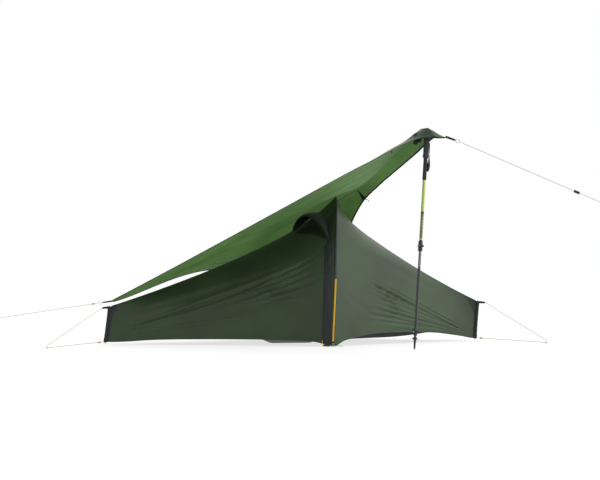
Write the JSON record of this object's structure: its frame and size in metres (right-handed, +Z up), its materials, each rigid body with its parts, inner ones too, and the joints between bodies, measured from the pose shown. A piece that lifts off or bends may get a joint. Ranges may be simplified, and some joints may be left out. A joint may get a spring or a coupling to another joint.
{
  "type": "tarp tent",
  "caption": "Low one-person tent with a single arch pole and short end struts, under a three-cornered tarp pitched on a trekking pole, with guy lines and pegs.",
  "frame": {"origin": "underside of the groundsheet where it rests on the ground, midway between the two end struts", "axes": "+X along the tent to its right end, +Y to the back, +Z up"},
  "size_m": [4.0107, 2.8113, 1.3514],
  "materials": {
    "fly_cloth": "coated ripstop nylon, dark green",
    "tarp_cloth": "thin coated ripstop nylon, green",
    "inner_cloth": "breathable woven nylon",
    "floor_cloth": "coated nylon, near black",
    "dark_webbing": "woven tape",
    "yellow_webbing": "woven strap",
    "yellow_plastic": "moulded",
    "pole_aluminium": "anodised tube",
    "ring_steel": "bent wire",
    "black_plastic": "moulded nylon",
    "grip_foam": "moulded foam",
    "lime_paint": "gloss enamel",
    "dark_paint": "satin enamel",
    "line_cord": "braided line",
    "elastic": "covered shock cord"
  },
  "bodies": {
    "tent": {"arch_pole_front": "pole_aluminium", "arch_pole_middle": "pole_aluminium", "arch_pole_rear": "pole_aluminium", "arch_shock_cord": "elastic", "arch_sleeve": "dark_webbing", "door_zip": "black_plastic", "end_tab_left": "dark_webbing", "end_tab_right": "dark_webbing", "fly_front_left": "fly_cloth", "fly_front_right": "fly_cloth", "fly_rear_left": "fly_cloth", "fly_rear_right": "fly_cloth", "foot_buckle_front": "black_plastic", "foot_buckle_rear": "black_plastic", "foot_strap_front": "yellow_webbing", "foot_strap_rear": "yellow_webbing", "groundsheet": "floor_cloth", "guy_left": "line_cord", "guy_right": "line_cord", "inner_canopy": "inner_cloth", "inner_hanger": "dark_webbing", "peg_left": "pole_aluminium", "peg_rear": "pole_aluminium", "peg_right": "pole_aluminium", "pole_grip": "grip_foam", "pole_upper_clamp": "black_plastic", "pole_upper_shaft": "lime_paint", "storm_flap": "fly_cloth", "strut_left": "pole_aluminium", "strut_right": "pole_aluminium", "strut_sleeve_left": "dark_webbing", "strut_sleeve_right": "dark_webbing", "tarp": "tarp_cloth", "tarp_binding_front": "dark_webbing", "tarp_binding_rear": "dark_webbing", "tarp_binding_right": "dark_webbing", "tarp_guy_left": "line_cord", "tarp_guy_rear": "line_cord", "tarp_guy_right": "line_cord", "tarp_pole_cup": "black_plastic", "tarp_ring_left": "ring_steel", "tarp_ring_peak": "ring_steel", "tarp_tab_left": "dark_webbing", "tarp_tab_peak": "dark_webbing", "tarp_tab_rear": "dark_webbing", "vent_hood": "fly_cloth"},
    "zip_slider": {"zip_slider": "black_plastic"},
    "zip_pull": {"zip_pull": "yellow_plastic"},
    "pole_middle": {"pole_middle_shaft": "dark_paint", "pole_lower_clamp": "black_plastic"},
    "pole_lower": {"pole_lower_shaft": "dark_paint", "pole_tip": "black_plastic", "pole_basket": "black_plastic"},
    "upper_lever": {"pole_upper_lever": "black_plastic"},
    "lower_lever": {"pole_lower_lever": "black_plastic"},
    "wrist_strap": {"wrist_strap": "dark_webbing"},
    "adjuster_left": {"adjuster_left": "yellow_plastic"},
    "adjuster_right": {"adjuster_right": "yellow_plastic"},
    "adjuster_tarp": {"adjuster_tarp": "yellow_plastic"},
    "line_tensioner": {"line_tensioner": "black_plastic"}
  },
  "joints": [
    {"name": "zip_slide", "type": "slide", "parent": "tent", "child": "zip_slider", "axis": [0.0437, 0.0461, 0.998], "range_m": [0, 0.095]},
    {"name": "zip_pull_swing", "type": "hinge", "parent": "zip_slider", "child": "zip_pull", "pos_m": [0.20955, -0.53414, 0.04025], "axis": [-0.9353, 0.3529, 0.0247], "range_deg": [0, 110]},
    {"name": "pole_middle_slide", "type": "slide", "parent": "tent", "child": "pole_middle", "axis": [0.0696, 0.0051, 0.9976], "range_m": [0, 0.42]},
    {"name": "pole_lower_slide", "type": "slide", "parent": "pole_middle", "child": "pole_lower", "axis": [-0.0696, -0.0051, -0.9976], "range_m": [0, 0.33]},
    {"name": "upper_lever_swing", "type": "hinge", "parent": "tent", "child": "upper_lever", "pos_m": [0.78099, -1.01167, 0.63071], "axis": [-0.0696, -0.0051, -0.9976], "range_deg": [0, 120]},
    {"name": "lower_lever_swing", "type": "hinge", "parent": "pole_middle", "child": "lower_lever", "pos_m": [0.74484, -1.01312, 0.11298], "axis": [-0.0696, -0.0051, -0.9976], "range_deg": [0, 120]},
    {"name": "wrist_strap_swing", "type": "hinge", "parent": "tent", "child": "wrist_strap", "pos_m": [0.86615, -0.99353, 1.26405], "axis": [0, -1, 0], "range_deg": [0, 75]},
    {"name": "adjuster_left_slide", "type": "slide", "parent": "tent", "child": "adjuster_left", "axis": [-0.5165, -0.8561, -0.0166], "range_m": [0, 0.3]},
    {"name": "adjuster_right_slide", "type": "slide", "parent": "tent", "child": "adjuster_right", "axis": [0.6208, -0.7838, -0.0159], "range_m": [0, 0.3]},
    {"name": "adjuster_tarp_slide", "type": "slide", "parent": "tent", "child": "adjuster_tarp", "axis": [-0.9903, 0.0188, -0.1379], "range_m": [0, 0.3]},
    {"name": "line_tensioner_slide", "type": "slide", "parent": "tent", "child": "line_tensioner", "axis": [0.9097, -0.0541, -0.4118], "range_m": [-0.3, 0.14]}
  ]
}
